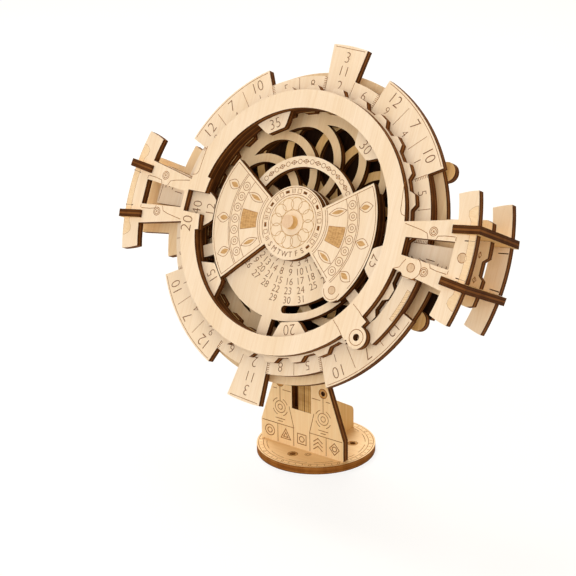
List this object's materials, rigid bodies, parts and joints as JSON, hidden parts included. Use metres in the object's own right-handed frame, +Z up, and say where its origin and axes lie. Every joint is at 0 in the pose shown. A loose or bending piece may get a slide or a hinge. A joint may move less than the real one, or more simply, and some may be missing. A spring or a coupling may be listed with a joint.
{
  "type": "perpetual desk calendar",
  "caption": "Plywood perpetual calendar: turning year ring and month wheel in a leaning round frame with side clips, on a slotted stand with a round base.",
  "frame": {"origin": "centre of the round base's underside, on the table", "axes": "+X to the right as the dial is read, +Y to the back, away from the reader, +Z up"},
  "size_m": [0.175, 0.069, 0.173],
  "materials": {
    "pale_plywood": "matte",
    "burnt_plywood": "matte"
  },
  "bodies": {
    "frame": {"base_disc": "pale_plywood", "stand_front_plate": "pale_plywood", "stand_spine": "burnt_plywood", "stand_cheek_left": "burnt_plywood", "stand_cheek_right": "burnt_plywood", "front_frame": "pale_plywood", "middle_frame": "pale_plywood", "back_plate": "burnt_plywood", "dial_bracket": "burnt_plywood", "rear_bar": "pale_plywood", "clip_left_upper": "burnt_plywood", "clip_left_lower": "burnt_plywood", "clip_right_upper": "burnt_plywood", "clip_right_lower": "burnt_plywood", "weekday_mask": "pale_plywood", "axle_pin": "burnt_plywood", "hub_cap": "pale_plywood", "hub_spacer": "burnt_plywood", "axle_washer": "burnt_plywood", "fan_stop_peg": "pale_plywood", "click_pin": "pale_plywood", "bar_peg": "pale_plywood"},
    "month_wheel": {"month_ring": "pale_plywood", "date_disc": "pale_plywood", "tooth_ring": "burnt_plywood"},
    "year_wheel": {"year_ring": "pale_plywood"},
    "click": {"click_arm": "pale_plywood"}
  },
  "joints": [
    {"name": "month_turn", "type": "hinge", "parent": "frame", "child": "month_wheel", "pos_m": [0, -0.0182, 0.1075], "axis": [0, -0.9085, 0.4179], "range_deg": [-42.4, 42.4]},
    {"name": "year_turn", "type": "hinge", "parent": "frame", "child": "year_wheel", "pos_m": [0, -0.0182, 0.1075], "axis": [0, -0.9085, 0.4179], "continuous": true},
    {"name": "click_swing", "type": "hinge", "parent": "frame", "child": "click", "pos_m": [0.06133, -0.02139, 0.10056], "axis": [0, -0.9085, 0.4179], "range_deg": [0, 4], "stiffness_Nm_per_rad": 0.02}
  ]
}
